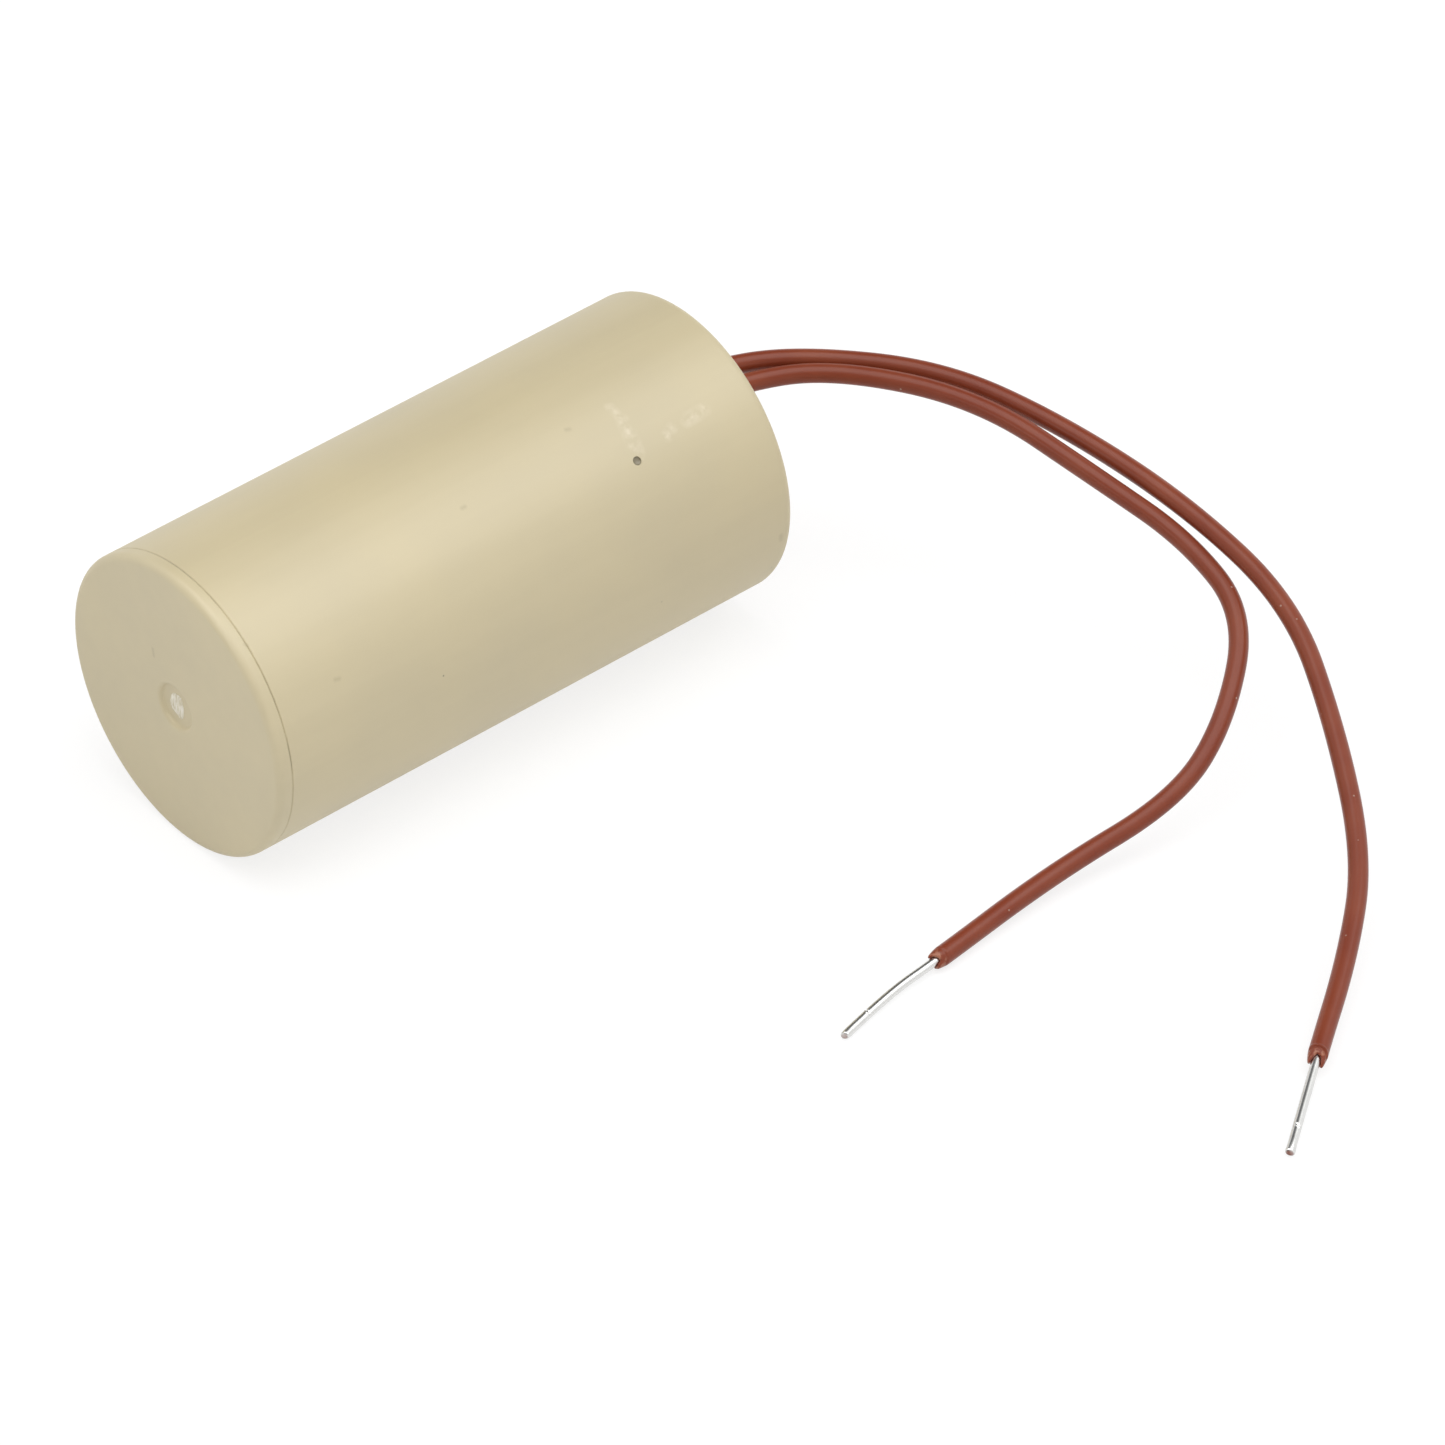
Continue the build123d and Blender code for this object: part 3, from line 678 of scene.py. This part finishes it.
tin = add(tinned_copper, "Mix", {"data_type": "RGBA", 6: linear("#d4d4d2"), 7: linear("#ececea")},
          {0: tarnish.outputs[0]})
colour = add(tinned_copper, "Mix", {"data_type": "RGBA", 7: linear("#8a645a")},
             {0: copper_part.outputs[0], 6: tin.outputs[2]})
tinned_copper.node_tree.links.new(colour.outputs[2], shader.inputs["Base Color"])
drawn_bump = add(tinned_copper, "Bump", {"Strength": 0.35, "Distance": 0.01 * MM},
                 {"Height": drawn_lines.outputs[0]})
tinned_copper.node_tree.links.new(drawn_bump.outputs[0], shader.inputs["Normal"])
dress(wire_a, tinned_copper)
dress(wire_b, tinned_copper)

# %% [markdown]
# ## The pieces inside the can
# Nothing shows inside a closed can, but whoever cuts it open or turns the case off finds what such a
# capacitor holds: a roll of metallised film on a white core, zinc sprayed on both ends, yellow wrap,
# bright solder, and olive-grey resin over everything. Only a dot of the resin is seen from outside, at
# the bottom of the pin-hole. Each piece gets its own finish, from one short recipe of two colours that
# a noise mixes, and a bump of the same noise.


# %% Inner finishes
def inner_finish(name, node_names, colours, grain, settings, bump):
    """A finish of two colours mixed by a noise with the given grain in x, y and z, for those CAD nodes."""
    material, shader = new_material(name, settings)
    place = add(material, "TexCoord").outputs["Object"]
    scaled = add(material, "Mapping", {"Scale": tuple(1 / size for size in grain)}, {"Vector": place})
    noise = add(material, "TexNoise", {"Scale": 1.0, "Detail": 3.0}, {"Vector": scaled.outputs[0]})
    colour = add(material, "Mix", {"data_type": "RGBA", 6: linear(colours[0]), 7: linear(colours[1])},
                 {0: noise.outputs[0]})
    relief = add(material, "Bump", {"Strength": 0.6, "Distance": bump}, {"Height": noise.outputs[0]})
    material.node_tree.links.new(colour.outputs[2], shader.inputs["Base Color"])
    material.node_tree.links.new(relief.outputs[0], shader.inputs["Normal"])
    for node_name in node_names:
        dress(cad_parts[node_name], material)
    print(name, "on", ", ".join(node_names))


even = (1.5 * MM, 1.5 * MM, 1.5 * MM)
along_can = (8 * MM, 0.4 * MM, 0.4 * MM)
across_roll = (0.3 * MM, 6 * MM, 6 * MM)
rough_spray = (0.4 * MM, 0.4 * MM, 0.4 * MM)
inner_finish("cast_epoxy_olive", ["potting_resin"], ("#877e66", "#958c73"), even,
             {"Roughness": 0.25, "IOR": 1.55}, 0.02 * MM)
dress(resin_plug, bpy.data.materials["cast_epoxy_olive"])
inner_finish("extruded_polypropylene_white", ["winding_core"], ("#dcdcd6", "#eeeeea"), along_can,
             {"Roughness": 0.45, "IOR": 1.49}, 0.01 * MM)
inner_finish("metallised_film_grey", ["film_winding"], ("#8d9097", "#b9bcc2"), across_roll,
             {"Roughness": 0.3, "Metallic": 0.6}, 0.01 * MM)
inner_finish("polyester_wrap_yellow", ["outer_wrap"], ("#c9a23a", "#dcb953"), along_can,
             {"Roughness": 0.28, "IOR": 1.58}, 0.01 * MM)
inner_finish("sprayed_zinc", ["front_contact", "rear_contact"], ("#8f9296", "#b4b7ba"), rough_spray,
             {"Roughness": 0.6, "Metallic": 1.0}, 0.06 * MM)
inner_finish("tin_solder", ["front_solder_joint", "rear_solder_joint"], ("#c2c4c6", "#dedfe0"), even,
             {"Roughness": 0.22, "Metallic": 1.0}, 0.02 * MM)

# %% [markdown]
# ## The table
# The photograph was taken on white, and its background was cleaned to pure white. Here the table is
# one large white sheet. The Light Path node tells which kind of ray looks at it: rays from the camera
# see it mostly as plain white, so it stays white and only keeps a pale shadow. Mirror rays see less of
# that, and the light that it bounces onto the can is that of real white paper.

# %% Table
table_mesh = bpy.data.meshes.new("table")
table_half = 4.0
table_mesh.from_pydata([(-table_half, -table_half, 0), (table_half, -table_half, 0),
                        (table_half, table_half, 0), (-table_half, table_half, 0)], [], [(0, 1, 2, 3)])
table = bpy.data.objects.new("table", table_mesh)
bpy.context.scene.collection.objects.link(table)
white_paper, shader = new_material("white_paper", {"Roughness": 0.9, "Base Color": linear("#ebebeb")})
rays = add(white_paper, "LightPath")
mirrored = add(white_paper, "Math", {"operation": "MAXIMUM"}, {0: rays.outputs["Is Glossy Ray"],
                                                               1: rays.outputs["Is Transmission Ray"]})
mirrored = add(white_paper, "Math", {"operation": "MULTIPLY", 1: 0.85}, {0: mirrored.outputs[0]})
seen = add(white_paper, "Math", {"operation": "MAXIMUM"}, {0: rays.outputs["Is Camera Ray"],
                                                           1: mirrored.outputs[0]})
share = add(white_paper, "Math", {"operation": "MULTIPLY", 1: 0.7}, {0: seen.outputs[0]})
glow = add(white_paper, "Emission", {"Color": (1, 1, 1, 1), "Strength": 1.14})
paper = add(white_paper, "MixShader", None, {0: share.outputs[0], 1: shader.outputs[0], 2: glow.outputs[0]})
output = white_paper.node_tree.nodes["Material Output"]
white_paper.node_tree.links.new(paper.outputs[0], output.inputs["Surface"])
dress(table, white_paper)

# %% [markdown]
# ## The light
# What a satin surface and a bright wire show is the room around them, so the room matters as much as
# the lamps. The photograph tells about it. A broad highlight lies along the can, a quarter of the way
# down its front, so a softbox stood high on the right. The can's top is a purer beige, and thin dark
# lines run along the bare wires, so the tent had a dark gap behind the softbox. Two weaker gaps stand
# for the camera's opening and for the side beyond the lid. The world is that white tent: camera rays
# see it plain white, mirror rays see the gaps too, and diffuse rays get a soft dim light.

# %% World
tent_light = 0.61
# Each gap: its direction, the angles of its edge and heart in degrees, and the light left in its heart
tent_gaps = [((0.45, 0.60, 0.66), 32, 13, 0.06), ((-0.48, -0.60, 0.63), 28, 6, 0.5),
             ((-0.93, -0.17, 0.30), 42, 14, 0.3)]

world = bpy.data.worlds.new("light_tent")
bpy.context.scene.world = world
world.use_nodes = True
background = world.node_tree.nodes["Background"]
rays = add(world, "LightPath")
mirrored = add(world, "Math", {"operation": "MAXIMUM"}, {0: rays.outputs["Is Glossy Ray"],
                                                         1: rays.outputs["Is Transmission Ray"]})
sky = add(world, "MapRange", {"To Min": tent_light, "To Max": 1.0}, {"Value": mirrored.outputs[0]})
look = add(world, "TexCoord").outputs["Generated"]
for direction, edge, heart, light_left in tent_gaps:
    towards_gap = add(world, "VectorMath", {"operation": "DOT_PRODUCT", 1: direction}, {0: look})
    gap = add(world, "MapRange", {"interpolation_type": "SMOOTHSTEP", "From Min": np.cos(np.radians(edge)),
                                  "From Max": np.cos(np.radians(heart)), "To Min": 1.0, "To Max": light_left},
              {"Value": towards_gap.outputs["Value"]})
    sky = add(world, "Math", {"operation": "MULTIPLY"}, {0: sky.outputs[0], 1: gap.outputs[0]})
strength = add(world, "MapRange", {"To Max": 1.0}, {"Value": rays.outputs["Is Camera Ray"],
                                                    "To Min": sky.outputs[0]})
background.inputs["Color"].default_value = (1, 1, 1, 1)
world.node_tree.links.new(strength.outputs[0], background.inputs["Strength"])


# %% Lamps
def lamp(name, direction, distance, size, watts):
    """A soft lamp that stands in a direction from the can, faces it, and isn't seen by the camera."""
    data = bpy.data.lights.new(name, "AREA")
    data.shape = "RECTANGLE"
    data.size, data.size_y = size
    data.energy = watts
    light = bpy.data.objects.new(name, data)
    towards = Vector(direction).normalized()
    light.location = Vector((0, 0, can_axis_z)) + towards * distance
    light.rotation_euler = (-towards).to_track_quat("-Z", "Y").to_euler()
    light.visible_camera = False
    bpy.context.scene.collection.objects.link(light)


lamp("overhead", (-0.1, -0.05, 1.0), 1.3, (1.2, 1.2), 8.3)
lamp("key", (0.482, -0.390, 0.785), 1.2, (0.8, 0.5), 2.2)
lamp("lid_fill", (-0.838, -0.154, 0.523), 0.103, (0.03, 0.03), 0.009)

# %% [markdown]
# The Standard view shows a colour as it is written.

# %% Finish
bpy.context.scene.view_settings.view_transform = "Standard"
